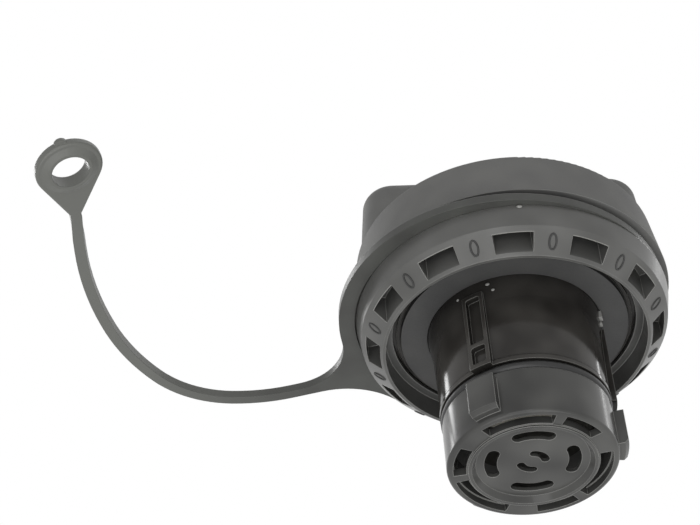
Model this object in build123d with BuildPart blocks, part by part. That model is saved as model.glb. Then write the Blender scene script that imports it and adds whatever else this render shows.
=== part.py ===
from build123d import *
import math
import os

# Fuel filler cap with a captive tether.
# Origin: centre of the plug's lower end, on the cap's axis. +Z points up out of the filler neck,
# +X runs along the grip bar. All lengths are in millimetres and all angles in degrees.

# ---- Driving dimensions ----------------------------------------------------------------------

# Clearances
running_gap = 0.1  # radial gap of a turning or sliding fit
loose_gap = 0.3  # gap of a piece that floats in its seat
seat_gap = 0.03  # gap that keeps a round face from pressing into its seat
touch = 0.01  # tolerance within which an edge counts as lying on a surface

# Plug end and valve housing
plug_end_r = 19.8  # housing wall, outside
housing_wall = 1.8
end_face_z = 0.5  # slotted end face above the raised rim the plug stands on
end_plate = 2.0
end_edge_round = 0.8
rim_outer_r = 14.9  # raised rim of the end
rim_width = 0.8
dish_floor_r = 13.1  # flat floor inside the sloping dish
dish_floor_z = 1.5
housing_shoulder_z = 12.9  # face under the neck seal
spigot_wall = 2.0
spigot_length = 10.0  # spigot above the shoulder, inside the neck

outer_slot_inner_r = 15.3  # ring of slots between the raised rim and the wall
outer_slot_outer_r = 18.3
wide_land_angle = -25.3
wide_land_span = 24.0
narrow_web_angle = -74.0
narrow_web_span = 8.0
vent_slot_r = 9.7  # four arc slots in the dish
vent_slot_width = 2.9
vent_slot_span = 60.0
vent_slot_angle = -3.0
drain_slot_r = 2.9  # two small arc slots round the centre
drain_slot_width = 2.0
drain_slot_spans = ((-109.0, 114.0), (66.0, 109.0))  # start, span

# Bayonet lugs
lug_count = 3
lug_angle = -4.2
lug_span = 18.0
lug_outer_r = 22.2
lug_low_z = 2.3
lug_height = 9.4
lug_lead_in = 0.9

# Neck seal
seal_cord = 2.5  # diameter of the O-ring's section

# Plug body
neck_low_r = 19.7
neck_high_r = 20.3
neck_wall = 2.1
neck_lip = 0.4  # lip round the neck's lower end
neck_lip_height = 1.2
neck_root_r = 21.1  # the neck flares into the flange
neck_root_height = 6.0
gasket_face_z = 40.2
gasket_thickness = 2.4
gasket_outer_r = 27.6
gasket_lip_width = 0.9
gasket_lip_height = 1.2
flange_r = 31.2
flange_thickness = 2.4
hub_r = 20.4  # hub above the flange, carries the ratchet ring
hub_height = 8.5
valve_step_z = 27.0  # step in the bore that the valve seat bears on
chamber_r = 16.0  # bore above the step
cap_recess = 4.0  # depth of the recess for the spring cap, from the hub's top
cap_ledge = 1.0  # ledge the spring cap rests on

# Guide frames on the neck
frame_count = 3
frame_angle = -3.4
frame_span = 14.6
frame_rib_width = 0.9
frame_outer_r = 21.3
frame_bar = 1.1
frame_cross_z = 21.4
frame_top_z = 37.2
frame_corner = 1.2

# Ratchet
ratchet_teeth = 24
ratchet_root_r = 24.0
ratchet_tooth = 1.5
ratchet_height = 5.4
hub_keys = 3
hub_key_width = 3.0
hub_key_height = 0.9

# Drive ring
drive_ring_wall = 2.5
drive_ring_height = 4.5
pawl_count = 3
pawl_span = 62.0
pawl_thickness = 1.2
pawl_gap = 1.0  # gap between a pawl and the ring behind it
pawl_root_span = 8.0
drive_keys = 6
drive_key_angle = 30.0
drive_key_width = 2.0
drive_key_depth = 2.0
slide_ring_thickness = 0.8

# Retaining ring
cone_outer_r = 37.2  # lower outer edge of the cone
cone_outer_z = 40.5
cone_inner_r = 32.3  # inner edge of the cone
cone_inner_z = 35.55
rim_land = 0.7  # flat at the cone's inner edge
ring_top_r = 38.2
ring_shelf_z = 45.9
groove_r = 33.2  # groove the tether turns in
collar_z = 50.5
collar_height = 3.5
ledge_thickness = 1.0
ledge_depth = 1.9
window_count = 12
window_angle = -4.6
window_span = 15.2
window_inner_r = 32.9
window_outer_r = 36.1
window_floor_z = 44.2

# Cover
cover_rim_r = 39.0
cover_rim_z = 50.3
cover_edge_r = 37.2
cover_edge_z = 63.4
cover_wall = 2.3
cover_roof = 2.3
cover_edge_round = 0.6
collar_step = 1.1  # inward step in the cover's wall that the collar bears on
collar_relief = 0.4  # extra wall outside the collar
boss_r = 16.0
boss_wall = 2.6

# Grip bar
grip_base_shift = 0.1  # the bar leans a little towards +X
grip_top_shift = 0.5
grip_base_length = 72.6
grip_base_width = 23.0
grip_top_length = 69.8
grip_top_width = 18.0
grip_top_z = 86.0
grip_corner = 7.5  # corner radius in plan
grip_edge_round = 4.5
grip_wall = 2.4
grip_web = 1.6
grip_web_pitch = 20.0
grip_webs = 3

# Spring washer
washer_thickness = 0.5
washer_rise = 1.5
washer_inner_r = 14.0
washer_outer_r = 19.4

# Valve seat
seat_open_r = 8.0
seat_lip_width = 0.9
seat_lip = 0.6
seat_height = 4.0
seat_ring_cord = 1.9

# Pressure valve
pressure_travel = 2.0
pressure_seal_r = 12.2
pressure_seal_thickness = 1.2
pressure_plate_r = 13.2
pressure_plate_thickness = 1.8
guide_fins = 4
guide_fin_width = 1.6
guide_fin_root = 1.0  # part of a fin's length that is inside the plate
guide_collar_r = 3.2
guide_collar_height = 4.0
port_count = 6
port_r = 0.9
port_circle_r = 4.7
spring_ring_r = 7.4  # low ring that centres the pressure spring
spring_ring_wall = 1.0
spring_ring_height = 1.2
pressure_spring_r = 9.6
pressure_spring_wire = 1.1
pressure_spring_turns = 4.5

wire_side_count = 8  # flats round a spring's wire

# Spring cap
spring_cap_thickness = 2.0
spring_cap_hole_r = 1.5
spring_cap_holes = 6
spring_cap_circle_r = 6.0

# Vacuum valve
stem_r = 1.6
vacuum_head_r = 6.6
vacuum_head_thickness = 1.2
vacuum_seal_r = 6.3
vacuum_seal_thickness = 1.0
vacuum_spring_r = 4.2
vacuum_spring_wire = 0.5
vacuum_spring_turns = 5.0
vacuum_spring_length = 7.6
clip_r = 5.3
clip_thickness = 0.9
clip_groove = 0.5
stem_tip = 1.2

# Tether
tether_shift = 2.4  # the loose ring hangs off centre, towards the strap
tether_ring_r = 40.0
tether_ring_width = 3.9
tether_thickness = 2.1
strap_width = 2.6
strap_root_angle = 144.8
strap_root_depth = 3.4  # the strap's middle line starts this far inside the ring's edge
strap_heading = 164.5
strap_lead = 23.0
strap_arcs = ((44.8, 19.7), (26.1, 46.9), (56.4, 21.2), (91.1, 18.1))  # radius, turn
strap_tail = 4.0
strap_twist_length = 7.8
strap_front_fillet = 15.0
strap_back_fillet = 20.0
eyelet_r = 7.7
eyelet_neck = 14.2  # from the end of the twist to the hole's centre
eyelet_tilt = 20.0  # the eyelet is turned about the strap's line
eyelet_edge_round = 0.6
eyelet_hole_r = 4.3
eyelet_collar_foot_r = 6.6  # a sloping collar stands on both faces round the hole
eyelet_collar_r = 5.0
eyelet_collar_height = 0.7
nub_r = 1.5
nub_inset = 0.4
nub_angle = -8.0

# ---- Heights and radii that follow -------------------------------------------------------------

neck_end_z = housing_shoulder_z + seal_cord + 2 * seat_gap
flange_z = gasket_face_z + gasket_thickness
flange_top_z = flange_z + flange_thickness
hub_top_z = flange_top_z + hub_height
neck_bore_r = neck_low_r - neck_wall
spigot_r = neck_bore_r - running_gap
spigot_bore_r = spigot_r - spigot_wall
spigot_top_z = housing_shoulder_z + spigot_length
seat_low_z = valve_step_z - seat_height
cap_ledge_z = hub_top_z - cap_recess
slide_ring_top_z = flange_top_z + slide_ring_thickness
groove_bore_r = flange_r + loose_gap
drive_ring_r = groove_bore_r - loose_gap
drive_ring_bore_r = drive_ring_r - drive_ring_wall
drive_ring_top_z = slide_ring_top_z + drive_ring_height
collar_top_z = collar_z + collar_height
roof_z = cover_edge_z - cover_roof
seal_low_z = valve_step_z + seat_lip + seat_gap
plate_low_z = seal_low_z + pressure_seal_thickness
plate_top_z = plate_low_z + pressure_plate_thickness
guide_top_z = plate_low_z + pressure_plate_thickness + guide_collar_height
clip_low_z = plate_top_z + vacuum_spring_length
head_top_z = plate_low_z - vacuum_seal_thickness
washer_low_z = hub_top_z + seat_gap
washer_top_z = washer_low_z + washer_rise + washer_thickness
cover_lean = (cover_rim_r - cover_edge_r) / (cover_edge_z - cover_rim_z)
tether_z = ring_shelf_z + running_gap


def cover_outer_r(height):
    """Radius of the cover's leaning outside wall at a height."""
    return cover_rim_r - cover_lean * (height - cover_rim_z)


def section(*points):
    """Return the closed straight-sided face through (radius, height) points."""
    with BuildSketch() as face:
        with BuildLine():
            Polyline(*points, close=True)
        make_face()
    return face.sketch


def sector(inner_r, outer_r, middle, span):
    """Return a ring sector, centred on an angle."""
    start = middle - span / 2
    with BuildSketch() as face:
        with BuildLine():
            outer = CenterArc((0, 0), outer_r, start, span)
            inner = CenterArc((0, 0), inner_r, start, span)
            Line(outer @ 0, inner @ 0)
            Line(outer @ 1, inner @ 1)
        make_face()
    return face.sketch


def ring_slot(radius, width, start, span):
    """Return a round-ended arc slot whose ends reach the two angles."""
    end_angle = math.degrees(width / 2 / radius)
    low_tip = Vector(radius, 0).rotate(Axis.Z, start)
    high_tip = Vector(radius, 0).rotate(Axis.Z, start + span)
    with BuildSketch() as face:
        with BuildLine():
            outer = CenterArc((0, 0), radius + width / 2, start + end_angle, span - 2 * end_angle)
            inner = CenterArc((0, 0), radius - width / 2, start + end_angle, span - 2 * end_angle)
            ThreePointArc(outer @ 0, low_tip, inner @ 0)
            ThreePointArc(outer @ 1, high_tip, inner @ 1)
        make_face()
    return face.sketch


def coil(radius, wire, turns, low_z, high_z):
    """Return a compression spring that stands between two heights, inside no open block.

    The wire has flats instead of a round face, which keeps its many turns light.
    """
    rise = high_z - low_z - wire
    path = Helix(rise / turns, rise, radius, center=(0, 0, low_z + wire / 2))
    with BuildPart() as spring:
        with BuildSketch(Plane(origin=path @ 0, z_dir=path % 0)):
            RegularPolygon(wire / 2, wire_side_count)
        sweep(path=path)
    return spring


# ---- Valve housing: the lower cup with its slotted end and bayonet lugs ------------------------

with BuildPart() as valve_housing:
    with BuildSketch(Plane.XZ):
        add(section(
            (0, dish_floor_z),
            (dish_floor_r, dish_floor_z),
            (rim_outer_r - rim_width, 0),
            (rim_outer_r, 0),
            (rim_outer_r, end_face_z),
            (plug_end_r, end_face_z),
            (plug_end_r, housing_shoulder_z),
            (spigot_r, housing_shoulder_z),
            (spigot_r, spigot_top_z),
            (spigot_bore_r, spigot_top_z),
            (spigot_bore_r, housing_shoulder_z - spigot_wall),
            (plug_end_r - housing_wall, housing_shoulder_z - 2 * spigot_wall),
            (plug_end_r - housing_wall, end_face_z + end_plate),
            (0, end_face_z + end_plate),
        ))
    revolve(axis=Axis.Z)
    outer_end_edge = edges().filter_by(GeomType.CIRCLE).group_by(Axis.Z)[1].sort_by(SortBy.RADIUS)[-1]
    fillet(outer_end_edge, end_edge_round)

    # The lugs stand on the wall and share its axis.
    with BuildSketch(Plane.XY.offset(lug_low_z)):
        for index in range(lug_count):
            middle = lug_angle + index * 360 / lug_count
            add(sector(plug_end_r - housing_wall / 2, lug_outer_r, middle, lug_span))
    extrude(amount=lug_height)
    lug_end_edges = edges().filter_by_position(Axis.Z, lug_low_z - touch, lug_low_z + touch).filter_by(
        lambda edge: edge.geom_type == GeomType.CIRCLE and abs(edge.radius - lug_outer_r) < touch
    )
    chamfer(lug_end_edges, lug_lead_in)

    # Long and short slots alternate between the wide lands and the narrow webs.
    with BuildSketch():
        for index in range(lug_count):
            turn = index * 360 / lug_count
            land_low = wide_land_angle + turn - wide_land_span / 2
            land_high = wide_land_angle + turn + wide_land_span / 2
            web_high = narrow_web_angle + turn + narrow_web_span / 2
            short_span = land_low - web_high
            long_span = 360 / lug_count - wide_land_span - narrow_web_span - short_span
            add(sector(outer_slot_inner_r, outer_slot_outer_r, web_high + short_span / 2, short_span))
            add(sector(outer_slot_inner_r, outer_slot_outer_r, land_high + long_span / 2, long_span))
    extrude(amount=end_face_z + end_plate, mode=Mode.SUBTRACT)

    with BuildSketch():
        for index in range(4):
            first = vent_slot_angle + index * 90 - vent_slot_span / 2
            add(ring_slot(vent_slot_r, vent_slot_width, first, vent_slot_span))
        for first, span in drain_slot_spans:
            add(ring_slot(drain_slot_r, drain_slot_width, first, span))
    extrude(amount=end_face_z + end_plate, mode=Mode.SUBTRACT)

valve_housing.part.label = "valve_housing"

# ---- Neck seal ---------------------------------------------------------------------------------

seal_centre_r = spigot_r + seat_gap + seal_cord / 2
seal_centre_z = housing_shoulder_z + seat_gap + seal_cord / 2

with BuildPart() as neck_o_ring:
    with BuildSketch(Plane.XZ):
        with Locations((seal_centre_r, seal_centre_z)):
            Circle(seal_cord / 2)
    revolve(axis=Axis.Z)

neck_o_ring.part.label = "neck_o_ring"

# ---- Plug body: neck, sealing flange and hub in one moulding -------------------------------------

lip_outer_r = gasket_outer_r + running_gap + gasket_lip_width

with BuildPart() as plug_body:
    with BuildSketch(Plane.XZ):
        add(section(
            (neck_bore_r, neck_end_z),
            (neck_low_r + neck_lip, neck_end_z),
            (neck_low_r + neck_lip, neck_end_z + neck_lip_height),
            (neck_low_r, neck_end_z + neck_lip_height + neck_lip),
            (neck_high_r, gasket_face_z - neck_root_height),
            (neck_root_r, gasket_face_z),
            (neck_root_r, flange_z),
            (gasket_outer_r + running_gap, flange_z),
            (gasket_outer_r + running_gap, flange_z - gasket_lip_height),
            (lip_outer_r, flange_z - gasket_lip_height),
            (lip_outer_r, flange_z),
            (flange_r, flange_z),
            (flange_r, flange_top_z),
            (hub_r, flange_top_z),
            (hub_r, hub_top_z),
            (chamber_r + cap_ledge, hub_top_z),
            (chamber_r + cap_ledge, cap_ledge_z),
            (chamber_r, cap_ledge_z),
            (chamber_r, valve_step_z),
            (neck_bore_r, valve_step_z),
        ))
    revolve(axis=Axis.Z)

    # Keys that hold the ratchet ring.
    with BuildSketch(Plane.XY.offset(flange_top_z)):
        with PolarLocations(hub_r + hub_key_height / 2, hub_keys):
            Rectangle(hub_key_height * 2, hub_key_width)
    extrude(amount=ratchet_height)

    # Guide frames: a rounded window frame of ribs on the neck, with one cross bar.
    frame_low_z = neck_end_z
    frame_height = frame_top_z - frame_low_z
    with BuildSketch(Plane.XY.offset(frame_low_z)):
        for index in range(frame_count):
            middle = frame_angle + index * 360 / frame_count
            add(sector(neck_bore_r + neck_wall / 2, frame_outer_r, middle, frame_span))
    extrude(amount=frame_height)
    chord = 2 * frame_outer_r * math.sin(math.radians(frame_span / 2))
    pocket_width = chord - 2 * frame_rib_width
    low_pocket = frame_cross_z - frame_low_z - frame_bar
    high_pocket = frame_top_z - frame_cross_z - 2 * frame_bar
    low_middle = frame_low_z + frame_bar + low_pocket / 2
    high_middle = frame_cross_z + frame_bar + high_pocket / 2
    for index in range(frame_count):
        middle = frame_angle + index * 360 / frame_count
        inward = Plane(
            origin=Vector(frame_outer_r, 0, 0).rotate(Axis.Z, middle),
            x_dir=Vector(0, 1, 0).rotate(Axis.Z, middle),
            z_dir=Vector(-1, 0, 0).rotate(Axis.Z, middle),
        )
        with BuildSketch(inward):
            with Locations((0, -low_middle)):
                RectangleRounded(pocket_width, low_pocket, frame_corner / 2)
            with Locations((0, -high_middle)):
                RectangleRounded(pocket_width, high_pocket, frame_corner / 2)
        extrude(amount=frame_outer_r - neck_low_r, mode=Mode.SUBTRACT)

plug_body.part.label = "plug_body"

# ---- Flange gasket -----------------------------------------------------------------------------

with BuildPart() as flange_gasket:
    with BuildSketch(Plane.XY.offset(gasket_face_z)):
        Circle(gasket_outer_r)
        Circle(neck_root_r + running_gap, mode=Mode.SUBTRACT)
    extrude(amount=gasket_thickness)

flange_gasket.part.label = "flange_gasket"

# ---- Ratchet ring: saw teeth round the hub -------------------------------------------------------

tooth_pitch = 360 / ratchet_teeth
ratchet_tip_r = ratchet_root_r + ratchet_tooth

with BuildPart() as ratchet_ring:
    with BuildSketch(Plane.XY.offset(flange_top_z)):
        with BuildLine():
            outline = []
            for index in range(ratchet_teeth):
                steep_face = Vector(1, 0).rotate(Axis.Z, index * tooth_pitch)
                outline.append(steep_face * ratchet_root_r)
                outline.append(steep_face * ratchet_tip_r)
            Polyline(*outline, close=True)
        make_face()
        Circle(hub_r + running_gap, mode=Mode.SUBTRACT)
        with PolarLocations(hub_r + hub_key_height / 2, hub_keys):
            Rectangle(
                2 * (hub_key_height + running_gap), hub_key_width + 2 * running_gap, mode=Mode.SUBTRACT
            )
    extrude(amount=ratchet_height)

ratchet_ring.part.label = "ratchet_ring"

# ---- Slide ring under the drive ring -------------------------------------------------------------

with BuildPart() as slide_ring:
    with BuildSketch(Plane.XY.offset(flange_top_z)):
        Circle(drive_ring_r)
        Circle(ratchet_tip_r + loose_gap, mode=Mode.SUBTRACT)
    extrude(amount=slide_ring_thickness)

slide_ring.part.label = "slide_ring"

# ---- Drive ring: three sprung pawls that ride over the ratchet -----------------------------------

pawl_outer_r = drive_ring_bore_r - pawl_gap
pawl_inner_r = pawl_outer_r - pawl_thickness
pawl_tip_r = ratchet_root_r + 2 * running_gap
pawl_tip_span = tooth_pitch / 2
pawl_slack = math.degrees(2 * running_gap / ratchet_root_r)
pawl_tip_rise = ratchet_tooth * pawl_tip_span / tooth_pitch

with BuildPart() as drive_ring:
    with BuildSketch(Plane.XY.offset(slide_ring_top_z)):
        Circle(drive_ring_r)
        Circle(drive_ring_bore_r, mode=Mode.SUBTRACT)
        for index in range(pawl_count):
            steep_angle = index * 360 / pawl_count
            add(sector(pawl_inner_r, drive_ring_bore_r + pawl_gap, steep_angle - pawl_span, pawl_root_span))
            add(sector(pawl_inner_r, pawl_outer_r, steep_angle - pawl_span / 2, pawl_span))
            # The tip lies against the steep face of a tooth and over the ramp before it.
            front = Vector(1, 0).rotate(Axis.Z, steep_angle - pawl_slack)
            back = Vector(1, 0).rotate(Axis.Z, steep_angle - pawl_slack - pawl_tip_span)
            with BuildLine():
                Polyline(
                    front * pawl_tip_r,
                    front * pawl_outer_r,
                    back * pawl_outer_r,
                    back * (pawl_tip_r + pawl_tip_rise),
                    close=True,
                )
            make_face()
    extrude(amount=drive_ring_height)
    with BuildSketch(Plane.XY.offset(drive_ring_top_z - drive_key_depth)):
        with PolarLocations(drive_ring_r - drive_ring_wall / 2, drive_keys, drive_key_angle):
            Rectangle(2 * drive_ring_wall, drive_key_width + 2 * running_gap)
    extrude(amount=drive_key_depth, mode=Mode.SUBTRACT)

drive_ring.part.label = "drive_ring"

# ---- Retaining ring: windowed cone that holds the plug's flange in the cover ----------------------

collar_r = cover_outer_r(collar_z) - cover_wall - running_gap - collar_relief
ledge_top_z = flange_z - loose_gap

with BuildPart() as retaining_ring:
    with BuildSketch(Plane.XZ):
        add(section(
            (cone_outer_r, cone_outer_z),
            (ring_top_r, ring_shelf_z),
            (groove_r, ring_shelf_z),
            (groove_r, collar_z),
            (collar_r, collar_z),
            (collar_r, collar_top_z),
            (groove_bore_r, collar_top_z),
            (groove_bore_r, ledge_top_z),
            (groove_bore_r - ledge_depth, ledge_top_z),
            (groove_bore_r - ledge_depth, ledge_top_z - ledge_thickness),
            (groove_bore_r, ledge_top_z - ledge_thickness),
            (cone_inner_r - rim_land, cone_inner_z),
            (cone_inner_r, cone_inner_z),
        ))
    revolve(axis=Axis.Z)

    # The windows are blind pockets that open through the cone.
    with BuildSketch(Plane.XY.offset(window_floor_z)):
        for index in range(window_count):
            middle = window_angle + index * 360 / window_count
            add(sector(window_inner_r, window_outer_r, middle, window_span))
    extrude(amount=-(window_floor_z - cone_inner_z), mode=Mode.SUBTRACT)

retaining_ring.part.label = "retaining_ring"

# ---- Cover: leaning side wall, roof and hollow grip bar in one moulding ---------------------------

fin_low_z = drive_ring_top_z - drive_key_depth + running_gap
fin_r = drive_ring_r - running_gap
collar_bore_r = collar_r + running_gap
step_r = collar_r - collar_step

# The grip bar narrows towards its top and is rounded over.
with BuildPart() as grip:
    with BuildSketch(Plane.XY.offset(cover_edge_z - cover_roof / 2)):
        with Locations((grip_base_shift, 0)):
            RectangleRounded(grip_base_length, grip_base_width, grip_corner)
    with BuildSketch(Plane.XY.offset(grip_top_z)):
        with Locations((grip_top_shift, 0)):
            RectangleRounded(grip_top_length, grip_top_width, grip_corner)
    loft()
    fillet(faces().sort_by(Axis.Z)[-1].edges(), grip_edge_round)

# Its cavity opens into the cover, and webs cross it.
with BuildPart() as grip_cavity:
    with BuildSketch(Plane.XY.offset(roof_z)):
        with Locations((grip_base_shift, 0)):
            RectangleRounded(
                grip_base_length - 2 * grip_wall, grip_base_width - 2 * grip_wall, grip_corner - grip_wall
            )
    with BuildSketch(Plane.XY.offset(grip_top_z - grip_wall)):
        with Locations((grip_top_shift, 0)):
            RectangleRounded(
                grip_top_length - 3 * grip_wall, grip_top_width - 3 * grip_wall, grip_corner - grip_wall
            )
    loft()
    with BuildSketch(Plane.XY.offset(roof_z)):
        with GridLocations(grip_web_pitch, 0, grip_webs, 1):
            Rectangle(grip_web, grip_base_width)
    extrude(amount=grip_top_z - roof_z, mode=Mode.SUBTRACT)

with BuildPart() as cover:
    with BuildSketch(Plane.XZ):
        add(section(
            (0, roof_z),
            (step_r, roof_z),
            (step_r, collar_top_z),
            (collar_bore_r, collar_top_z),
            (collar_bore_r, cover_rim_z),
            (cover_rim_r, cover_rim_z),
            (cover_edge_r, cover_edge_z),
            (0, cover_edge_z),
        ))
    revolve(axis=Axis.Z)
    fillet(edges().filter_by(GeomType.CIRCLE).group_by(Axis.Z)[-1], cover_edge_round)

    add(grip.part)
    add(grip_cavity.part, mode=Mode.SUBTRACT)

    # Boss that loads the spring washer.
    with BuildSketch(Plane.XY.offset(washer_top_z + seat_gap)):
        Circle(boss_r)
        Circle(boss_r - boss_wall, mode=Mode.SUBTRACT)
    extrude(amount=roof_z - washer_top_z)

    # Fins that drop into the notches of the drive ring.
    with BuildSketch(Plane.XY.offset(fin_low_z)):
        with PolarLocations(fin_r - drive_ring_wall / 2, drive_keys, drive_key_angle):
            Rectangle(drive_ring_wall, drive_key_width)
    extrude(amount=roof_z - fin_low_z + cover_roof / 2)

cover.part.label = "cover"

# ---- Spring washer between the hub and the cover's boss -------------------------------------------

with BuildPart() as spring_washer:
    with BuildSketch(Plane.XZ):
        add(section(
            (washer_outer_r, washer_low_z),
            (washer_outer_r, washer_low_z + washer_thickness),
            (washer_inner_r, washer_top_z),
            (washer_inner_r, washer_top_z - washer_thickness),
        ))
    revolve(axis=Axis.Z)

spring_washer.part.label = "spring_washer"

# ---- Valve seat clamped in the neck's bore --------------------------------------------------------

seat_r = neck_bore_r - running_gap
seat_groove_r = seat_r - seat_ring_cord
seat_groove_z = valve_step_z - seat_height / 2

with BuildPart() as valve_seat:
    with BuildSketch(Plane.XZ):
        add(section(
            (seat_open_r, seat_low_z),
            (seat_r, seat_low_z),
            (seat_r, valve_step_z),
            (seat_open_r + 2 * seat_lip_width, valve_step_z),
            (seat_open_r + 1.5 * seat_lip_width, valve_step_z + seat_lip),
            (seat_open_r + 0.5 * seat_lip_width, valve_step_z + seat_lip),
            (seat_open_r, valve_step_z),
        ))
        with Locations((seat_r, seat_groove_z)):
            Rectangle(2 * seat_ring_cord, seat_ring_cord + 2 * seat_gap, mode=Mode.SUBTRACT)
    revolve(axis=Axis.Z)

valve_seat.part.label = "valve_seat"

with BuildPart() as seat_o_ring:
    with BuildSketch(Plane.XZ):
        with Locations((seat_groove_r + seat_ring_cord / 2 + seat_gap, seat_groove_z)):
            Circle(seat_ring_cord / 2)
    revolve(axis=Axis.Z)

seat_o_ring.part.label = "seat_o_ring"

# ---- Pressure valve: plate and seal held down by a spring ------------------------------------------

with BuildPart() as pressure_plate:
    with BuildSketch(Plane.XZ):
        add(section(
            (stem_r + running_gap, plate_low_z),
            (pressure_plate_r, plate_low_z),
            (pressure_plate_r, plate_top_z),
            (spring_ring_r + spring_ring_wall, plate_top_z),
            (spring_ring_r + spring_ring_wall, plate_top_z + spring_ring_height),
            (spring_ring_r, plate_top_z + spring_ring_height),
            (spring_ring_r, plate_top_z),
            (guide_collar_r, plate_top_z),
            (guide_collar_r, guide_top_z),
            (stem_r + running_gap, guide_top_z),
        ))
    revolve(axis=Axis.Z)
    # Fins centre the plate in the chamber and let the gas past.
    with BuildSketch(Plane.XY.offset(plate_low_z)):
        fin_length = chamber_r - loose_gap - pressure_plate_r + guide_fin_root
        with PolarLocations(chamber_r - loose_gap - fin_length / 2, guide_fins):
            Rectangle(fin_length, guide_fin_width)
    extrude(amount=pressure_plate_thickness)
    # Ports that the vacuum valve uncovers.
    with BuildSketch(Plane.XY.offset(plate_low_z)):
        with PolarLocations(port_circle_r, port_count):
            Circle(port_r)
    extrude(amount=pressure_plate_thickness, mode=Mode.SUBTRACT)

pressure_plate.part.label = "pressure_plate"

with BuildPart() as pressure_seal:
    with BuildSketch(Plane.XY.offset(seal_low_z)):
        Circle(pressure_seal_r)
        Circle(seat_open_r - seat_lip_width / 2, mode=Mode.SUBTRACT)
    extrude(amount=pressure_seal_thickness)

pressure_seal.part.label = "pressure_seal"

pressure_spring = coil(
    pressure_spring_r,
    pressure_spring_wire,
    pressure_spring_turns,
    plate_top_z + seat_gap,
    cap_ledge_z - seat_gap,
)
pressure_spring.part.label = "pressure_spring"

# ---- Spring cap pressed into the hub ----------------------------------------------------------------

with BuildPart() as spring_cap:
    with BuildSketch(Plane.XY.offset(cap_ledge_z)):
        Circle(chamber_r + cap_ledge - running_gap / 2)
        with PolarLocations(spring_cap_circle_r, spring_cap_holes):
            Circle(spring_cap_hole_r, mode=Mode.SUBTRACT)
    extrude(amount=spring_cap_thickness)
    # A tube centres the spring and stops the plate at the end of its travel.
    stop_low_z = plate_top_z + spring_ring_height + pressure_travel
    with BuildSketch(Plane.XY.offset(stop_low_z)):
        Circle(spring_ring_r + spring_ring_wall)
        Circle(spring_ring_r, mode=Mode.SUBTRACT)
    extrude(amount=cap_ledge_z - stop_low_z)

spring_cap.part.label = "spring_cap"

# ---- Vacuum valve: poppet hung through the pressure plate ----------------------------------------------

stem_top_z = clip_low_z + clip_thickness + stem_tip

with BuildPart() as vacuum_poppet:
    with BuildSketch(Plane.XZ):
        add(section(
            (0, head_top_z - vacuum_head_thickness),
            (vacuum_head_r, head_top_z - vacuum_head_thickness),
            (vacuum_head_r, head_top_z),
            (stem_r, head_top_z),
            (stem_r, clip_low_z),
            (stem_r - clip_groove, clip_low_z),
            (stem_r - clip_groove, clip_low_z + clip_thickness),
            (stem_r, clip_low_z + clip_thickness),
            (stem_r - clip_groove, stem_top_z),
            (0, stem_top_z),
        ))
    revolve(axis=Axis.Z)

vacuum_poppet.part.label = "vacuum_poppet"

with BuildPart() as vacuum_seal:
    with BuildSketch(Plane.XY.offset(head_top_z)):
        Circle(vacuum_seal_r)
        Circle(stem_r + running_gap, mode=Mode.SUBTRACT)
    extrude(amount=vacuum_seal_thickness)

vacuum_seal.part.label = "vacuum_seal"

vacuum_spring = coil(
    vacuum_spring_r,
    vacuum_spring_wire,
    vacuum_spring_turns,
    plate_top_z + seat_gap,
    clip_low_z - seat_gap,
)
vacuum_spring.part.label = "vacuum_spring"

with BuildPart() as vacuum_clip:
    with BuildSketch(Plane.XY.offset(clip_low_z)):
        Circle(clip_r)
        Circle(stem_r - clip_groove + seat_gap, mode=Mode.SUBTRACT)
        with Locations((clip_r / 2, 0)):
            Rectangle(clip_r, 2 * (stem_r - clip_groove), mode=Mode.SUBTRACT)
    extrude(amount=clip_thickness)

vacuum_clip.part.label = "vacuum_clip"

# ---- Tether: swivel ring, strap and eyelet in one moulding -------------------------------------------

ring_centre = Vector(-tether_shift, 0)
strap_root = ring_centre + Vector(tether_ring_r - strap_root_depth, 0).rotate(Axis.Z, strap_root_angle)


def strap_side(inset):
    """Return one long side of the strap, moved from its middle line towards the bends' centres."""
    sideways = Vector(0, inset).rotate(Axis.Z, strap_heading)
    with BuildLine() as side:
        stretch = PolarLine(strap_root + sideways, strap_lead, strap_heading)
        for radius, turn in strap_arcs:
            stretch = JernArc(stretch @ 1, stretch % 1, radius - inset, turn)
        PolarLine(stretch @ 1, strap_tail, direction=stretch % 1)
    return side.line


def ring_corners(outline):
    """Return the outline's corners that lie on the ring's edge, from front to back."""
    return outline.vertices().filter_by(
        lambda corner: abs((Vector(corner) - ring_centre).length - tether_ring_r) < touch
    ).sort_by(Axis.Y)


inner_side = strap_side(strap_width / 2)
outer_side = strap_side(-strap_width / 2)
tail = strap_side(0).edges()[-1]
tail_heading = tail % 1
tail_end = (tail @ 1) + Vector(0, 0, tether_z + tether_thickness / 2)
twist_end = tail_end + tail_heading * strap_twist_length
tilted_up = Vector(0, 0, 1).rotate(Axis((0, 0, 0), tail_heading), eyelet_tilt)
eyelet_low = Plane(
    origin=twist_end + tail_heading * eyelet_neck - tilted_up * tether_thickness / 2,
    x_dir=tail_heading,
    z_dir=tilted_up,
)

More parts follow.
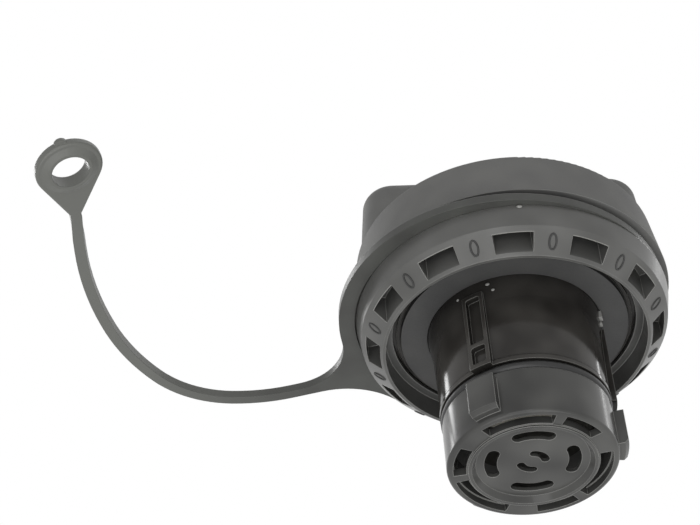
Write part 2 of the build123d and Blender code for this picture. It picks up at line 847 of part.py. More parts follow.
with BuildPart() as tether:
    with BuildSketch(Plane.XY.offset(tether_z)) as strap_outline:
        with BuildLine():
            add(inner_side)
            add(outer_side)
            Line(inner_side @ 0, outer_side @ 0)
            Line(inner_side @ 1, outer_side @ 1)
        make_face()
        with Locations(ring_centre):
            Circle(tether_ring_r)
        fillet(ring_corners(strap_outline)[-1], strap_back_fillet)
        fillet(ring_corners(strap_outline)[0], strap_front_fillet)
        with Locations(ring_centre):
            Circle(tether_ring_r - tether_ring_width, mode=Mode.SUBTRACT)
    extrude(amount=tether_thickness)

    # The strap twists before the eyelet.
    with BuildSketch(Plane(origin=tail_end, x_dir=(0, 0, 1), z_dir=tail_heading)):
        Rectangle(tether_thickness, strap_width)
    with BuildSketch(Plane(origin=twist_end, x_dir=tilted_up, z_dir=tail_heading)):
        Rectangle(tether_thickness, strap_width)
    loft()

    # The eyelet is a drop that tapers into the strap, with a nub near its tip.
    with BuildSketch(eyelet_low):
        Circle(eyelet_r)
        with Locations((strap_width / 2 - eyelet_neck, 0)):
            Rectangle(strap_width, strap_width)
        make_hull()
    extrude(amount=tether_thickness)
    fillet(edges().filter_by(
        lambda edge: edge.geom_type == GeomType.CIRCLE and abs(edge.radius - eyelet_r) < touch
    ), eyelet_edge_round)
    with BuildSketch(eyelet_low.offset(eyelet_edge_round)):
        with Locations(Vector(eyelet_r - nub_inset, 0).rotate(Axis.Z, nub_angle)):
            Circle(nub_r)
    extrude(amount=tether_thickness - 2 * eyelet_edge_round)
    for face_offset, rise in ((0, -eyelet_collar_height), (tether_thickness, eyelet_collar_height)):
        with BuildSketch(eyelet_low.offset(face_offset)):
            Circle(eyelet_collar_foot_r)
        with BuildSketch(eyelet_low.offset(face_offset + rise)):
            Circle(eyelet_collar_r)
        loft()
    with BuildSketch(eyelet_low.offset(-eyelet_collar_height)):
        Circle(eyelet_hole_r)
    extrude(amount=tether_thickness + 2 * eyelet_collar_height, mode=Mode.SUBTRACT)

tether.part.label = "tether"

# ---- Files -------------------------------------------------------------------------------------------------

pieces = (
    cover,
    retaining_ring,
    drive_ring,
    ratchet_ring,
    slide_ring,
    spring_washer,
    tether,
    plug_body,
    flange_gasket,
    neck_o_ring,
    valve_housing,
    valve_seat,
    seat_o_ring,
    pressure_plate,
    pressure_seal,
    pressure_spring,
    spring_cap,
    vacuum_poppet,
    vacuum_seal,
    vacuum_spring,
    vacuum_clip,
)
os.makedirs("parts", exist_ok=True)
for piece in pieces:
    export_step(piece.part, f"parts/{piece.part.label}.step")
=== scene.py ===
"""Looks of a fuel filler cap with a captive tether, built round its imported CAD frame.

The cap stands on its plug's end rim at Z = 0, with the grip bar on top. Lengths are in metres unless a
name ends in _MM or _mm, and angles are in degrees.
"""

import logging
import math
from dataclasses import dataclass, field
from enum import Enum
from functools import cache

import bmesh
import bpy
from mathutils import Matrix, Vector


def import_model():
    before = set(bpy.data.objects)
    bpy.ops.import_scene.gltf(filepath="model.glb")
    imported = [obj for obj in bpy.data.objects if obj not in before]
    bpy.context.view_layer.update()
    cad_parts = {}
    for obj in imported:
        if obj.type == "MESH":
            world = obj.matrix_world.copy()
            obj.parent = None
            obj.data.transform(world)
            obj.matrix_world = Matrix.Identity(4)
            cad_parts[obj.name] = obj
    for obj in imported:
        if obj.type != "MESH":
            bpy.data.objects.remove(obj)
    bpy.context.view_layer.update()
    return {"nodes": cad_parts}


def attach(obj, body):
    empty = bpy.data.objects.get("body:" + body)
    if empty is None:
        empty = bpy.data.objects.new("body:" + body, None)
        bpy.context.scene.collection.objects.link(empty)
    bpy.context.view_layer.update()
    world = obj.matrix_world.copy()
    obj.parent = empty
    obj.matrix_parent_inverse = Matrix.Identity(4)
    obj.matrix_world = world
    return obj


logging.basicConfig(level=logging.INFO, format="%(message)s")
LOG = logging.getLogger("filler_cap")

MM = 0.001

COLOURS = {"data_type": "RGBA"}  # setting of a Mix node that mixes colours
MIX_SHARE, MIX_FROM, MIX_TO, MIX_RESULT = 0, 6, 7, 2  # its sockets

EDGE_SAMPLES = 12  # rays that soften an edge: fewer leave specks on the glossy mouldings
CORNER_SAMPLES = 6  # rays that find how open a corner is
CLOUD_LAYERS, CLOUD_LAYER_SHARE = 1.0, 0.5  # finer layers of the clouds' noise, and each one's strength
CLOUD_LOW, CLOUD_HIGH = 0.3, 0.7  # noise over which the plain tone turns into the cloudy one
GRAIN_LAYERS, GRAIN_LAYER_SHARE = 2.0, 0.6
GRAIN_LOW, GRAIN_HIGH = 0.25, 0.75  # noise over which the roughness goes from its least to its most
# Edges take the lighter tone, part rubbed wear and part painted highlight, as the softened normal turns away
# between these cosines.
EDGE_WHOLE, EDGE_RUBBED_HIGHLIT = 0.97, 0.75  # cosine between the true and the softened normal
# Painted shade in deep corners: it starts at the first share of open sky, is full at the second, and takes
# the tone below.
CORNER_UNSHADED, CORNER_SHADED = 0.95, 0.35  # share of open sky
CORNER_SHADE_TONE = "#0a0a0a"

Colour = tuple[float, float, float, float]


class Body(Enum):
    """Bodies that carry pieces besides their CAD nodes."""

    PLUG = "plug"
    TURNING_COVER = "turning_cover"


class Slot(Enum):
    """Material slots of the record."""

    RING = "ring_plastic"
    PLUG = "plug_plastic"


def linear(hex_code: str) -> Colour:
    """Turn an sRGB hex value into linear light.

    Args:
        hex_code: Six hex digits after a hash.

    Returns:
        Linear red, green, blue and an alpha of one.
    """
    channels = []
    for start in (1, 3, 5):
        share = int(hex_code[start : start + 2], 16) / 255
        channels.append(share / 12.92 if share <= 0.04045 else ((share + 0.055) / 1.055) ** 2.4)
    return (channels[0], channels[1], channels[2], 1.0)


def add_node(
    tree: bpy.types.NodeTree,
    kind: str,
    settings: dict[str, object] | None = None,
    values: dict[str | int, object] | None = None,
    links: dict[str | int, bpy.types.NodeSocket] | None = None,
) -> bpy.types.Node:
    """Add a node with its settings, socket values and incoming links.

    Args:
        tree: Tree that takes the node.
        kind: Blender's name of the node type.
        settings: Attributes of the node.
        values: Input socket, by name or index, to its own value.
        links: Input socket, by name or index, to the output socket that feeds it.

    Returns:
        The new node.
    """
    node = tree.nodes.new(kind)
    for name, value in (settings or {}).items():
        setattr(node, name, value)
    for socket, value in (values or {}).items():
        node.inputs[socket].default_value = value
    for socket, source in (links or {}).items():
        tree.links.new(source, node.inputs[socket])
    return node


@dataclass(frozen=True)
class Finish:
    """A surface and how it was made, as one procedural material.

    The pattern is built from a cloudy tone a few millimetres across, a fine grain that also stands up as
    bump, and a lighter tone on edges, part rubbed wear and part painted highlight. Painted shade can darken
    deep corners, and painted light can pale one end.
    """

    name: str
    tone: str  # sRGB of the plain surface
    cloud_tone: str  # sRGB of the cloudier patches
    worn_highlight_tone: str  # sRGB of the edges, part rubbed wear and part painted highlight
    roughness: float
    ior: float
    specular: float = 0.5  # strength of the mirror effect, which is the plain one at 0.5
    cloud_mm: float = 9.0  # size of a cloudy patch
    grain_mm: float = 0.5  # size of one grain
    grain_depth_mm: float = 0.012
    grain_stretch: tuple[float, float, float] = (1.0, 1.0, 1.0)
    rough_spread: float = 0.06  # the grain takes the roughness this far both ways
    edge_mm: float = 0.25  # reach of the lightened edge
    worn_highlight_share: float = 0.5  # share of the edge tone, wear and painted highlight, on a sharp edge
    metallic: float = 0.0
    # Painted shade in deep corners:
    corner_shade: float = 0.0  # share by which deep corners are darkened
    corner_shade_mm: float = 14.0  # how far off a wall still closes a corner in
    painted_light_tone: str = ""  # sRGB of the far end: painted light, paler than the painted shade at the ring
    painted_light_from_mm: float = -50.0  # X at which the painted lightening starts
    painted_light_to_mm: float = -90.0  # X at which it is complete

    def build(self) -> bpy.types.Material:
        """Return the material, made from nodes."""
        material = bpy.data.materials.new(self.name)
        material.use_nodes = True
        tree = material.node_tree
        tree.nodes.clear()
        place = add_node(tree, "ShaderNodeTexCoord").outputs["Object"]
        stretched = add_node(
            tree, "ShaderNodeMapping", values={"Scale": self.grain_stretch}, links={"Vector": place}
        ).outputs["Vector"]
        grain = add_node(
            tree,
            "ShaderNodeTexNoise",
            values={
                "Scale": 1 / (self.grain_mm * MM),
                "Detail": GRAIN_LAYERS,
                "Roughness": GRAIN_LAYER_SHARE,
            },
            links={"Vector": stretched},
        ).outputs["Fac"]
        normal, rubbed_highlit = self._edges(tree, grain)
        rough = add_node(
            tree,
            "ShaderNodeMapRange",
            values={
                "From Min": GRAIN_LOW,
                "From Max": GRAIN_HIGH,
                "To Min": self.roughness - self.rough_spread,
                "To Max": self.roughness + self.rough_spread,
            },
            links={"Value": grain},
        ).outputs["Result"]
        shader = add_node(
            tree,
            "ShaderNodeBsdfPrincipled",
            values={"Metallic": self.metallic, "IOR": self.ior, "Specular IOR Level": self.specular},
            links={"Base Color": self._toned(tree, place, rubbed_highlit), "Roughness": rough, "Normal": normal},
        )
        add_node(tree, "ShaderNodeOutputMaterial", links={"Surface": shader.outputs["BSDF"]})
        return material

    def _toned(
        self, tree: bpy.types.NodeTree, place: bpy.types.NodeSocket, rubbed_highlit: bpy.types.NodeSocket
    ) -> bpy.types.NodeSocket:
        """Build the tone from its clouds, its painted light at one end, its painted shade in corners and its
        edges of wear and painted highlight.

        Args:
            tree: The material's tree.
            place: Object coordinates.
            rubbed_highlit: Share of the edge tone, part rubbed wear and part painted highlight.

        Returns:
            The finished tone.
        """
        cloud = add_node(
            tree,
            "ShaderNodeTexNoise",
            values={
                "Scale": 1 / (self.cloud_mm * MM),
                "Detail": CLOUD_LAYERS,
                "Roughness": CLOUD_LAYER_SHARE,
            },
            links={"Vector": place},
        ).outputs["Fac"]
        patches = add_node(
            tree,
            "ShaderNodeMapRange",
            values={"From Min": CLOUD_LOW, "From Max": CLOUD_HIGH},
            links={"Value": cloud},
        ).outputs["Result"]
        plain = add_node(
            tree,
            "ShaderNodeMix",
            COLOURS,
            {MIX_FROM: linear(self.tone), MIX_TO: linear(self.cloud_tone)},
            {MIX_SHARE: patches},
        ).outputs[MIX_RESULT]
        # Painted light: paler towards the strap's far end, with painted shade near the ring.
        if self.painted_light_tone:
            plain = self._painted_light(tree, place, plain)
        # Painted shade in deep corners.
        if self.corner_shade:
            plain = self._corner_shaded(tree, plain)
        # Edges lightened, part rubbed wear and part painted highlight.
        return add_node(
            tree,
            "ShaderNodeMix",
            COLOURS,
            {MIX_TO: linear(self.worn_highlight_tone)},
            {MIX_SHARE: rubbed_highlit, MIX_FROM: plain},
        ).outputs[MIX_RESULT]

    def _painted_light(
        self, tree: bpy.types.NodeTree, place: bpy.types.NodeSocket, plain: bpy.types.NodeSocket
    ) -> bpy.types.NodeSocket:
        """Paint the tone paler towards the end that lies furthest from the cap, as painted light, with
        painted shade left near the ring.

        Args:
            tree: The material's tree.
            place: Object coordinates.
            plain: The tone so far.

        Returns:
            The tone with its painted light.
        """
        across = add_node(tree, "ShaderNodeSeparateXYZ", links={0: place}).outputs["X"]
        share = add_node(
            tree,
            "ShaderNodeMapRange",
            values={"From Min": self.painted_light_from_mm * MM, "From Max": self.painted_light_to_mm * MM},
            links={"Value": across},
        ).outputs["Result"]
        return add_node(
            tree,
            "ShaderNodeMix",
            COLOURS,
            {MIX_TO: linear(self.painted_light_tone)},
            {MIX_SHARE: share, MIX_FROM: plain},
        ).outputs[MIX_RESULT]

    def _corner_shaded(self, tree: bpy.types.NodeTree, plain: bpy.types.NodeSocket) -> bpy.types.NodeSocket:
        """Darken the tone in deep corners as painted shade.

        Args:
            tree: The material's tree.
            plain: The tone so far.

        Returns:
            The darkened tone.
        """
        openness = add_node(
            tree,
            "ShaderNodeAmbientOcclusion",
            {"samples": CORNER_SAMPLES},
            {"Distance": self.corner_shade_mm * MM},
        ).outputs["AO"]
        share = add_node(
            tree,
            "ShaderNodeMapRange",
            values={"From Min": CORNER_UNSHADED, "From Max": CORNER_SHADED, "To Max": self.corner_shade},
            links={"Value": openness},
        ).outputs["Result"]
        return add_node(
            tree,
            "ShaderNodeMix",
            COLOURS,
            {MIX_TO: linear(CORNER_SHADE_TONE)},
            {MIX_SHARE: share, MIX_FROM: plain},
        ).outputs[MIX_RESULT]

    def _edges(
        self, tree: bpy.types.NodeTree, grain: bpy.types.NodeSocket
    ) -> tuple[bpy.types.NodeSocket, bpy.types.NodeSocket]:
        """Add the softened edge and the grain's bump.

        Args:
            tree: The material's tree.
            grain: Height of the grain, from 0 to 1.

        Returns:
            The shading normal, and the share of the edge tone, part rubbed wear and part painted highlight.
        """
        soft = add_node(
            tree, "ShaderNodeBevel", {"samples": EDGE_SAMPLES}, {"Radius": self.edge_mm * MM}
        ).outputs["Normal"]
        flat = add_node(tree, "ShaderNodeNewGeometry").outputs["Normal"]
        agreement = add_node(
            tree, "ShaderNodeVectorMath", {"operation": "DOT_PRODUCT"}, links={0: soft, 1: flat}
        ).outputs["Value"]
        rubbed_highlit = add_node(
            tree,
            "ShaderNodeMapRange",
            values={"From Min": EDGE_WHOLE, "From Max": EDGE_RUBBED_HIGHLIT, "To Max": self.worn_highlight_share},
            links={"Value": agreement},
        ).outputs["Result"]
        bumped = add_node(
            tree,
            "ShaderNodeBump",
            values={"Strength": 1.0, "Distance": self.grain_depth_mm * MM},
            links={"Height": grain, "Normal": soft},
        ).outputs["Normal"]
        return bumped, rubbed_highlit


# The moulded grains below are really 0.02 to 0.1 mm and wouldn't show, so each is drawn at its grain_mm.

# Glass-filled polyamide moulded against a spark-eroded tool: an even matt grain that greys the black.
COVER_FINISH = Finish(
    "polyamide_spark_eroded",
    tone="#6a6a69",
    cloud_tone="#727270",
    worn_highlight_tone="#a4a4a1",
    roughness=0.6,
    ior=1.53,
    specular=0.1,
    grain_mm=0.45,
    grain_depth_mm=0.03,
    edge_mm=0.4,
)
# The same polyamide against a plainer tool: satin, with faint swirls of the melt, pale edges that are part
# rubbed wear and part painted highlight, and painted shade in its deep corners.
RING_FINISH = Finish(
    "polyamide_satin_moulded",
    tone="#535351",
    cloud_tone="#60605e",
    worn_highlight_tone="#b8b8b3",
    roughness=0.3,
    ior=1.53,
    specular=0.4,
    grain_mm=0.6,
    grain_depth_mm=0.001,
    rough_spread=0.02,
    edge_mm=0.35,
    worn_highlight_share=0.75,
    corner_shade=0.2,
)
# Black acetal against a polished tool: glossy, so its sides mirror the strips, with painted shade in its
# deep corners, darkest near its root.
PLUG_FINISH = Finish(
    "acetal_polished_moulded",
    tone="#302e2c",
    cloud_tone="#474542",
    worn_highlight_tone="#83837f",
    roughness=0.12,
    ior=1.48,
    specular=0.18,
    grain_mm=1.2,
    grain_depth_mm=0.001,
    rough_spread=0.03,
    edge_mm=0.4,
    worn_highlight_share=0.75,
    corner_shade=0.6,
)
# The cup's acetal is a little duller and greyer, in broad soft patches.
HOUSING_FINISH = Finish(
    "acetal_satin_moulded",
    tone="#3c3c3b",
    cloud_tone="#565654",
    worn_highlight_tone="#a8a8a4",
    roughness=0.19,
    ior=1.48,
    specular=0.25,
    cloud_mm=12.0,
    grain_mm=0.7,
    grain_depth_mm=0.001,
    rough_spread=0.03,
    edge_mm=0.4,
    worn_highlight_share=0.75,
)
# Soft polyester elastomer, moulded satin: charcoal at the ring as painted shade, painted paler along the
# strap as painted light.
TETHER_FINISH = Finish(
    "elastomer_moulded",
    tone="#40403e",
    cloud_tone="#4a4b48",
    worn_highlight_tone="#565753",
    roughness=0.38,
    ior=1.5,
    specular=0.3,
    grain_mm=0.8,
    grain_depth_mm=0.01,
    painted_light_tone="#686965",
)
# Fluorocarbon rubber, moulded flat: dull, with a bloom of pale dust and painted shade in its deep corners.
GASKET_FINISH = Finish(
    "fluorocarbon_rubber",
    tone="#424242",
    cloud_tone="#4b4b4a",
    worn_highlight_tone="#6c6c6a",
    roughness=0.6,
    ior=1.5,
    grain_mm=0.4,
    corner_shade=0.5,
)
# Nitrile O-ring with a film of oil: the blackest line on the cap, with a soft shine.
SEAL_FINISH = Finish(
    "nitrile_rubber_oiled",
    tone="#161616",
    cloud_tone="#1c1c1c",
    worn_highlight_tone="#333333",
    roughness=0.4,
    ior=1.5,
    grain_depth_mm=0.008,
)
# Natural acetal, moulded: milky off-white.
MECHANISM_FINISH = Finish(
    "acetal_natural",
    tone="#cfccc0",
    cloud_tone="#d8d5ca",
    worn_highlight_tone="#e6e4da",
    roughness=0.36,
    ior=1.48,
    grain_mm=0.7,
    grain_depth_mm=0.006,
)
# Filled fluoropolymer, pressed: white and waxy.
SLIDE_FINISH = Finish(
    "fluoropolymer_pressed",
    tone="#dad9d4",
    cloud_tone="#e1e0dc",
    worn_highlight_tone="#ebeae6",
    roughness=0.45,
    ior=1.38,
    grain_depth_mm=0.008,
)
# Stainless spring wire and strip: drawn, so its scratches run round the axis.
SPRING_FINISH = Finish(
    "stainless_drawn",
    tone="#b4b2ae",
    cloud_tone="#bfbdb9",
    worn_highlight_tone="#d6d5d2",
    roughness=0.28,
    ior=1.5,
    grain_mm=0.2,
    grain_depth_mm=0.002,
    grain_stretch=(1.0, 1.0, 8.0),
    metallic=1.0,
)
# Beads left by an engraving in the ring's mould, dark as painted shade of the engraved lines, with dust:
# dull, dark ovals on pale pads.
MARK_FINISH = Finish(
    "polyamide_engraved",
    tone="#1f1f1e",
    cloud_tone="#272726",
    worn_highlight_tone="#5a5a58",
    roughness=0.5,
    ior=1.53,
    grain_mm=0.3,
    grain_depth_mm=0.005,
)
# Pale pips: on the ring a trimmed gate mark, whose torn polymer is paler than the moulded skin; on the neck
# painted glints on the guide frames' tops.
PIP_FINISH = Finish(
    "polymer_trimmed_and_glint",
    tone="#8a8a87",
    cloud_tone="#969693",
    worn_highlight_tone="#a8a8a4",
    roughness=0.4,
    ior=1.5,
    grain_mm=0.3,
    grain_depth_mm=0.004,
)


@cache
def material_of(finish: Finish) -> bpy.types.Material:
    """Return the one material of a finish, made when it is first asked for."""
    return finish.build()


def dress(node: bpy.types.Object, material: bpy.types.Material) -> None:
    """Give a CAD node or a piece one material."""
    node.data.materials.clear()
    node.data.materials.append(material)


def shown(name: str, mesh: bpy.types.Mesh) -> bpy.types.Object:
    """Put a mesh in the scene.

    Args:
        name: Name of the object.
        mesh: Its mesh, already in the part's frame.

    Returns:
        The object, at the origin, unturned and unscaled.
    """
    thing = bpy.data.objects.new(name, mesh)
    bpy.context.scene.collection.objects.link(thing)
    return thing


def seat(piece: bpy.types.Object, body: Body) -> None:
    """Let a piece ride on its body.

    Args:
        piece: The finished piece.
        body: Body that it moves with.
    """
    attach(piece, body.value)
    LOG.info("%s rides on %s, %d faces", piece.name, body.value, len(piece.data.polygons))


def grown_mesh(name: str, tree: bpy.types.NodeTree, sizes: dict[str, float]) -> bpy.types.Mesh:
    """Run a Geometry Nodes tree and keep its result as a plain mesh.

    Args:
        name: Name of the mesh.
        tree: The tree, whose inputs all have names.
        sizes: Input name to value.

    Returns:
        The mesh, with the materials that the tree set.
    """
    seed = shown(name + "_seed", bpy.data.meshes.new(name + "_seed"))
    modifier = seed.modifiers.new("grow", "NODES")
    modifier.node_group = tree
    for item in tree.interface.items_tree:
        if item.in_out == "INPUT":
            modifier[item.identifier] = sizes[item.name]
    bpy.context.view_layer.update()
    graph = bpy.context.evaluated_depsgraph_get()
    mesh = bpy.data.meshes.new_from_object(seed.evaluated_get(graph))
    mesh.name = name
    bpy.data.objects.remove(seed)
    return mesh


@dataclass
class PadMarks:
    """Oval marks on the pads between the ring's windows, each a fine bead half sunk in the cone's face."""

    count: int = 12
    first_angle: float = 10.4  # middle of the first pad
    radius: float = 34.7 * MM  # distance of an oval's centre from the axis
    height: float = 37.97 * MM
    lean: float = -45.3  # slope of the cone's face
    length: float = 3.6 * MM
    width: float = 1.7 * MM
    bead: float = 0.24 * MM  # radius of the bead
    loop_steps: int = 28
    bead_sides: int = 8

    def sizes(self) -> dict[str, float]:
        """Return the values of the tree's inputs by name, with angles in radians."""
        return {
            "Count": self.count,
            "Radius": self.radius,
            "Height": self.height,
            "First angle": math.radians(self.first_angle),
            "Lean": math.radians(self.lean),
            "Length": self.length,
            "Width": self.width,
            "Bead": self.bead,
        }

    def tree(self, material: bpy.types.Material) -> bpy.types.NodeTree:
        """Build the Geometry Nodes tree that lays the ovals round the cone.

        Args:
            material: Finish of the ovals.

        Returns:
            The tree, with a named input for each size.
        """
        tree = bpy.data.node_groups.new("pad_marks", "GeometryNodeTree")
        for name, value in self.sizes().items():
            kind = "NodeSocketInt" if isinstance(value, int) else "NodeSocketFloat"
            tree.interface.new_socket(name, in_out="INPUT", socket_type=kind)
        tree.interface.new_socket("Geometry", in_out="OUTPUT", socket_type="NodeSocketGeometry")
        sizes = add_node(tree, "NodeGroupInput").outputs
        points, angle = self._points(tree, sizes)
        turn = add_node(
            tree, "ShaderNodeCombineXYZ", links={"Y": sizes["Lean"], "Z": angle}
        ).outputs[0]
        ovals = add_node(
            tree,
            "GeometryNodeInstanceOnPoints",
            links={"Points": points, "Instance": self._oval(tree, sizes), "Rotation": turn},
        ).outputs[0]
        real = add_node(tree, "GeometryNodeRealizeInstances", links={"Geometry": ovals}).outputs[0]
        finished = add_node(
            tree, "GeometryNodeSetMaterial", values={"Material": material}, links={"Geometry": real}
        ).outputs[0]
        add_node(tree, "NodeGroupOutput", links={"Geometry": finished})
        return tree

    def _points(
        self, tree: bpy.types.NodeTree, sizes: bpy.types.NodeOutputs
    ) -> tuple[bpy.types.NodeSocket, bpy.types.NodeSocket]:
        """Set one point on the middle of each pad.

        Args:
            tree: The ovals' tree.
            sizes: Its inputs.

        Returns:
            The points, and each one's angle round the axis in radians.
        """
        index = add_node(tree, "GeometryNodeInputIndex").outputs["Index"]
        share = add_node(
            tree, "ShaderNodeMath", {"operation": "DIVIDE"}, links={0: index, 1: sizes["Count"]}
        ).outputs[0]
        angle = add_node(
            tree,
            "ShaderNodeMath",
            {"operation": "MULTIPLY_ADD"},
            {1: math.tau},
            {0: share, 2: sizes["First angle"]},
        ).outputs[0]
        along = {"Z": sizes["Height"]}
        for axis, part in (("X", "COSINE"), ("Y", "SINE")):
            turned = add_node(tree, "ShaderNodeMath", {"operation": part}, links={0: angle}).outputs[0]
            along[axis] = add_node(
                tree,
                "ShaderNodeMath",
                {"operation": "MULTIPLY"},
                links={0: turned, 1: sizes["Radius"]},
            ).outputs[0]
        place = add_node(tree, "ShaderNodeCombineXYZ", links=along).outputs[0]
        points = add_node(
            tree, "GeometryNodePoints", links={"Count": sizes["Count"], "Position": place}
        ).outputs[0]
        return points, angle

    def _oval(
        self, tree: bpy.types.NodeTree, sizes: bpy.types.NodeOutputs
    ) -> bpy.types.NodeSocket:
        """Sweep the bead round one oval.

        Args:
            tree: The ovals' tree.
            sizes: Its inputs.

        Returns:
            The oval bead, flat about its own centre.
        """
        circle = "GeometryNodeCurvePrimitiveCircle"
        loop = add_node(tree, circle, values={"Resolution": self.loop_steps, "Radius": 0.5})
        shape = add_node(
            tree,
            "ShaderNodeCombineXYZ",
            values={"Z": 1.0},
            links={"X": sizes["Length"], "Y": sizes["Width"]},
        ).outputs[0]
        oval = add_node(
            tree, "GeometryNodeTransform", links={"Geometry": loop.outputs["Curve"], "Scale": shape}
        ).outputs[0]
        section = add_node(
            tree, circle, values={"Resolution": self.bead_sides}, links={"Radius": sizes["Bead"]}
        ).outputs["Curve"]
        return add_node(
            tree, "GeometryNodeCurveToMesh", links={"Curve": oval, "Profile Curve": section}
        ).outputs[0]

    def build(self) -> bpy.types.Object:
        """Return the ovals as one piece with a plain mesh."""
        return shown("pad_marks", grown_mesh("pad_marks", self.tree(material_of(MARK_FINISH)), self.sizes()))


@dataclass(frozen=True)
class Pip:
    """A small pale lug on a round wall, half sunk in it: on the ring the mark of a gate, on the neck a
    painted glint.
    """

    name: str
    angle: float  # round the axis
    radius_mm: float  # distance of its middle from the axis
    height_mm: float
    size_mm: tuple[float, float, float]  # outwards, round the wall and upwards
    rounded: bool = True  # a dome; otherwise a block

    def build(self) -> bpy.types.Object:
        """Return the lug as a piece on its wall."""
        turn = Matrix.Rotation(math.radians(self.angle), 4, "Z")
        reach = Matrix.Translation((self.radius_mm * MM, 0.0, self.height_mm * MM))
        stretch = Matrix.Diagonal((*(length * MM for length in self.size_mm), 1.0))
        place = turn @ reach @ stretch  # brings a shape one unit across to its wall
        shell = bmesh.new()
        if self.rounded:
            bmesh.ops.create_icosphere(shell, subdivisions=2, radius=0.5, matrix=place)
        else:
            bmesh.ops.create_cube(shell, size=1.0, matrix=place)
        mesh = bpy.data.meshes.new(self.name)
        shell.to_mesh(mesh)
        shell.free()
        if self.rounded:
            mesh.shade_smooth()
        piece = shown(self.name, mesh)
        dress(piece, material_of(PIP_FINISH))
        return piece


@dataclass
class SubAssembly:
    """Some of the cap's pieces, with the finish of each CAD node and what the moulds left on them."""

    finishes: dict[str, Finish]

    def build(self, nodes: dict[str, bpy.types.Object]) -> None:
        """Give every CAD node its finish.

        Args:
            nodes: All the CAD nodes by name.
        """
        for name, finish in self.finishes.items():
            dress(nodes[name], material_of(finish))
            LOG.info("%s is dressed in %s", name, finish.name)


@dataclass
class TurningCover(SubAssembly):
    """Cover, windowed ring and the ratchet's driver, with the ring's ovals and gate mark."""

    finishes: dict[str, Finish] = field(
        default_factory=lambda: {
            "cover": COVER_FINISH,
            "retaining_ring": RING_FINISH,
            "drive_ring": MECHANISM_FINISH,
            "spring_washer": SPRING_FINISH,
        }
    )
    marks: PadMarks = field(default_factory=PadMarks)
    gate: Pip = Pip("ring_gate", -91.3, 38.25, 45.5, (0.6, 1.4, 0.9))

    def build(self, nodes: dict[str, bpy.types.Object]) -> None:
        """Dress the CAD nodes and lay the marks on the ring.

        Args:
            nodes: All the CAD nodes by name.
        """
        super().build(nodes)
        for piece in (self.marks.build(), self.gate.build()):
            seat(piece, Body.TURNING_COVER)


@dataclass
class Tether(SubAssembly):
    """Swivel ring, strap and eyelet in one moulding."""

    finishes: dict[str, Finish] = field(default_factory=lambda: {"tether": TETHER_FINISH})


@dataclass
class Plug(SubAssembly):
    """Neck, cup, gasket and seals, with pale pips on the neck and beside a guide frame that are painted
    glints.
    """

    finishes: dict[str, Finish] = field(
        default_factory=lambda: {
            "plug_body": PLUG_FINISH,
            "flange_gasket": GASKET_FINISH,
            "neck_o_ring": SEAL_FINISH,
            "valve_housing": HOUSING_FINISH,
            "valve_seat": MECHANISM_FINISH,
            "seat_o_ring": SEAL_FINISH,
            "spring_cap": MECHANISM_FINISH,
            "ratchet_ring": MECHANISM_FINISH,
            "slide_ring": SLIDE_FINISH,
        }
    )
    # Pale pips on the neck: painted glints on the guide frames' tops.
    pips: tuple[Pip, ...] = (
        Pip("neck_glint", -18.5, 21.0, 39.1, (1.1, 1.5, 2.0), rounded=False),
        Pip("neck_catch_foot", -16.0, 20.75, 37.3, (0.9, 1.2, 0.7), rounded=False),
        Pip("neck_dot_left", -134.5, 20.85, 38.3, (0.5, 0.7, 0.7)),
        Pip("neck_dot_middle", -112.0, 20.95, 38.9, (0.5, 1.1, 0.8)),
        Pip("neck_dot_low", -109.0, 20.7, 37.0, (0.5, 0.9, 0.7)),
    )

    def build(self, nodes: dict[str, bpy.types.Object]) -> None:
        """Dress the CAD nodes and lay the marks on the neck.

        Args:
            nodes: All the CAD nodes by name.
        """
        super().build(nodes)
        for pip in self.pips:
            seat(pip.build(), Body.PLUG)


@dataclass
class Valves(SubAssembly):
    """The overpressure valve, and the vacuum valve that hangs through its plate."""

    finishes: dict[str, Finish] = field(
        default_factory=lambda: {
            "pressure_plate": MECHANISM_FINISH,
            "pressure_seal": SEAL_FINISH,
            "pressure_spring": SPRING_FINISH,
            "vacuum_poppet": MECHANISM_FINISH,
            "vacuum_seal": SEAL_FINISH,
            "vacuum_spring": SPRING_FINISH,
            "vacuum_clip": SPRING_FINISH,
        }
    )


@dataclass(frozen=True)
class Lamp:
    """A soft lamp aimed at the cap. Its level is the share of its colour that a facing surface shows."""

    name: str
    place: tuple[float, float, float]
    size: tuple[float, float]
    level: float

    def hang(self, target: Vector) -> None:
        """Hang the lamp.

        Args:
            target: Point that it is aimed at.
        """
        data = bpy.data.lights.new(self.name, "AREA")
        data.shape = "RECTANGLE"
        data.size, data.size_y = self.size
        place = Vector(self.place)
        reach = target - place
        # At this distance a facing surface gets the power over pi times the distance squared, and a matt
        # one sends a pi-th of that on to the eye.
        data.energy = self.level * math.pi**2 * reach.length_squared
        holder = bpy.data.objects.new(self.name, data)
        holder.location = place
        holder.rotation_euler = reach.to_track_quat("-Z", "Y").to_euler()
        bpy.context.scene.collection.objects.link(holder)


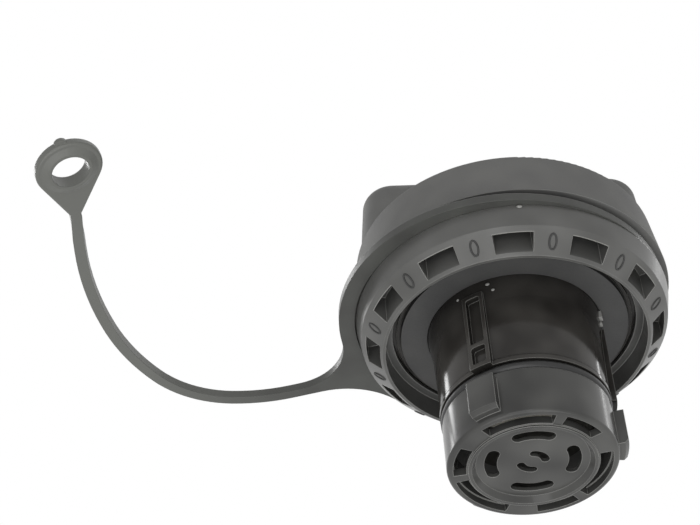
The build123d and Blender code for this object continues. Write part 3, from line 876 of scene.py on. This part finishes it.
@dataclass
class Studio:
    """Pale floor, white surroundings, soft lamps and the camera."""

    target: tuple[float, float, float] = (-0.01, 0.0, 0.04)
    fill_level: float = 0.42  # strength of the surroundings as a light
    floor_half: float = 3.0
    floor_tone: str = "#f4f4f2"
    lens_mm: float = 92.57
    sensor_mm: float = 36.0
    clip_start: float = 0.01
    camera_place: tuple[float, float, float] = (-0.0530, -0.3285, -0.2454)
    camera_right: tuple[float, float, float] = (0.99896, 0.0, -0.04568)  # the view's own right and up
    camera_up: tuple[float, float, float] = (0.03314, -0.68813, 0.72483)
    lamps: tuple[Lamp, ...] = (
        Lamp("low_softbox", (-0.04, -0.22, -0.80), (0.9, 0.9), 0.66),
        Lamp("top_softbox", (0.0, -0.20, 0.86), (0.7, 0.7), 0.16),
        Lamp("front_softbox", (-0.20, -0.72, -0.30), (0.4, 0.4), 0.2),
        Lamp("left_strip", (-0.53, 0.42, 0.58), (0.13, 0.45), 0.185),
        Lamp("right_strip", (0.60, 0.34, 0.58), (0.05, 0.45), 0.038),
    )

    def build(self) -> None:
        """Set up everything that isn't the cap."""
        self._world()
        self._floor()
        for lamp in self.lamps:
            lamp.hang(Vector(self.target))
        self._camera()

    def _world(self) -> None:
        """Make the surroundings white to look at and plain as a light."""
        world = bpy.data.worlds.new("studio_white")
        world.use_nodes = True
        tree = world.node_tree
        tree.nodes.clear()
        path = add_node(tree, "ShaderNodeLightPath").outputs
        seen = add_node(
            tree,
            "ShaderNodeMath",
            {"operation": "MAXIMUM"},
            links={0: path["Is Camera Ray"], 1: path["Is Glossy Ray"]},
        ).outputs[0]
        white = add_node(
            tree,
            "ShaderNodeMath",
            {"operation": "MAXIMUM"},
            links={0: seen, 1: path["Is Transmission Ray"]},
        ).outputs[0]
        level = add_node(
            tree,
            "ShaderNodeMapRange",
            values={"To Min": self.fill_level, "To Max": 1.0},
            links={"Value": white},
        ).outputs["Result"]
        glow = add_node(
            tree, "ShaderNodeBackground", values={"Color": linear("#ffffff")}, links={"Strength": level}
        ).outputs[0]
        add_node(tree, "ShaderNodeOutputWorld", links={"Surface": glow})
        bpy.context.scene.world = world

    def _floor(self) -> None:
        """Lay a pale floor that shows from above only, with the cap's shadow on it."""
        mesh = bpy.data.meshes.new("floor")
        half = self.floor_half
        corners = [(-half, -half, 0), (half, -half, 0), (half, half, 0), (-half, half, 0)]
        mesh.from_pydata(corners, [], [(0, 1, 2, 3)])
        floor = shown("floor", mesh)
        material = bpy.data.materials.new("floor_paint")
        material.use_nodes = True
        tree = material.node_tree
        tree.nodes.clear()
        path = add_node(tree, "ShaderNodeLightPath").outputs
        side = add_node(tree, "ShaderNodeNewGeometry").outputs["Backfacing"]
        above = add_node(
            tree,
            "ShaderNodeMath",
            {"operation": "SUBTRACT", "use_clamp": True},
            links={0: path["Is Camera Ray"], 1: side},
        ).outputs[0]
        paint = add_node(
            tree, "ShaderNodeBsdfDiffuse", values={"Color": linear(self.floor_tone)}
        ).outputs[0]
        clear = add_node(tree, "ShaderNodeBsdfTransparent").outputs[0]
        surface = add_node(
            tree, "ShaderNodeMixShader", links={0: above, 1: clear, 2: paint}
        ).outputs[0]
        add_node(tree, "ShaderNodeOutputMaterial", links={"Surface": surface})
        dress(floor, material)

    def _camera(self) -> None:
        """Place the camera below the cap's front, turned level with the strap."""
        data = bpy.data.cameras.new("camera")
        data.lens = self.lens_mm
        data.sensor_width = self.sensor_mm
        data.sensor_fit = "HORIZONTAL"
        data.clip_start = self.clip_start
        camera = bpy.data.objects.new("camera", data)
        right = Vector(self.camera_right).normalized()
        back = right.cross(Vector(self.camera_up)).normalized()
        up = back.cross(right)
        turn = Matrix((right, up, back)).transposed().to_4x4()
        camera.matrix_world = Matrix.Translation(self.camera_place) @ turn
        bpy.context.scene.collection.objects.link(camera)
        bpy.context.scene.camera = camera


def main() -> None:
    """Dress the cap's sub-assemblies with their marks, and light the cap."""
    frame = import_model()
    bpy.context.scene.view_settings.view_transform = "Standard"
    for part in (TurningCover(), Tether(), Plug(), Valves()):
        part.build(frame["nodes"])
    Studio().build()


if __name__ == "__main__":
    main()
